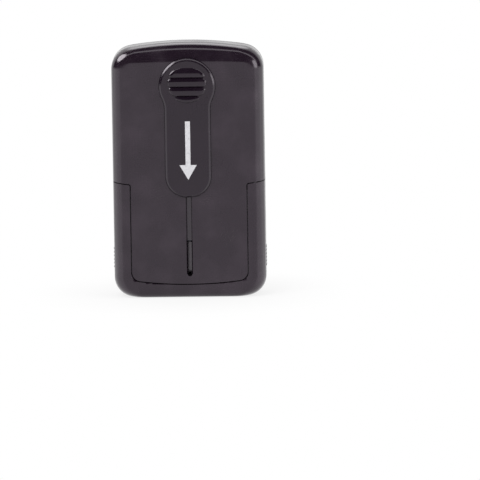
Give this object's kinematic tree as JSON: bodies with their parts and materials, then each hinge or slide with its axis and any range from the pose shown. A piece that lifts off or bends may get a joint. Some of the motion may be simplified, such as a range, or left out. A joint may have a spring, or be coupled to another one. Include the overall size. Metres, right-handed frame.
{
  "type": "pocket self-inking stamp",
  "caption": "Flat pocket stamp with a slip-on end cap, a keyhole thumb slider, a stamp plate that turns out past the rails and an ink tray that swings out behind.",
  "frame": {"origin": "middle of the flat foot of the end cap, on the stamp's plane of symmetry and half-way through its thickness", "axes": "+X across the width, -Y out of the front with the thumb slider, +Z along the length from the end cap's foot to the top"},
  "size_m": [0.0464, 0.0184, 0.0773],
  "materials": {
    "gloss_black": "polished moulded plastic",
    "frame_black": "satin moulded plastic",
    "steel": "drawn spring wire and pins",
    "plate_violet": "satin moulded plastic",
    "foam": "closed-cell adhesive foam",
    "liner_yellow": "matte paper",
    "tray_grey": "satin moulded plastic",
    "ink_felt": "ink-soaked felt",
    "ink_cover": "ink-soaked woven cloth"
  },
  "bodies": {
    "cap": {"end_cap": "gloss_black"},
    "case": {"front_shell": "gloss_black", "back_shell": "gloss_black", "inner_frame": "frame_black", "tray_hinge_pin": "steel", "tray_spring_left": "steel", "tray_spring_right": "steel", "detent_spring": "steel"},
    "slider": {"thumb_slider": "gloss_black", "slider_carriage": "frame_black", "slider_keeper": "frame_black", "plate_pivot_pin": "steel", "plate_spring_left": "steel", "plate_spring_right": "steel"},
    "plate": {"plate_yoke": "frame_black", "die_plate": "plate_violet", "adhesive_foam": "foam", "release_liner": "liner_yellow"},
    "tray": {"tray_holder": "tray_grey", "pad_cassette": "tray_grey", "ink_felt": "ink_felt", "ink_cover": "ink_cover"}
  },
  "joints": [
    {"name": "cap_pull", "type": "slide", "parent": "cap", "child": "case", "axis": [0, 0, 1], "range_m": [0, 0.18]},
    {"name": "thumb_slide", "type": "slide", "parent": "case", "child": "slider", "axis": [0, 0, -1], "range_m": [0, 0.023]},
    {"name": "plate_flip", "type": "hinge", "parent": "slider", "child": "plate", "pos_m": [0, -0.00435, 0.0175], "axis": [-1, 0, 0], "range_deg": [0, 90], "deforming": ["plate_spring_left", "plate_spring_right"]},
    {"name": "tray_swing", "type": "hinge", "parent": "case", "child": "tray", "pos_m": [0, 0.0067, 0.0337], "axis": [1, 0, 0], "range_deg": [0, 90], "deforming": ["tray_spring_left", "tray_spring_right"]}
  ],
  "couplings": [
    {"joint": "thumb_slide", "follows": "cap_pull", "ratio": 0.12778},
    {"joint": "plate_flip", "follows": "cap_pull", "rad_per_m": 8.7266},
    {"joint": "tray_swing", "follows": "cap_pull", "rad_per_m": 8.7266}
  ]
}
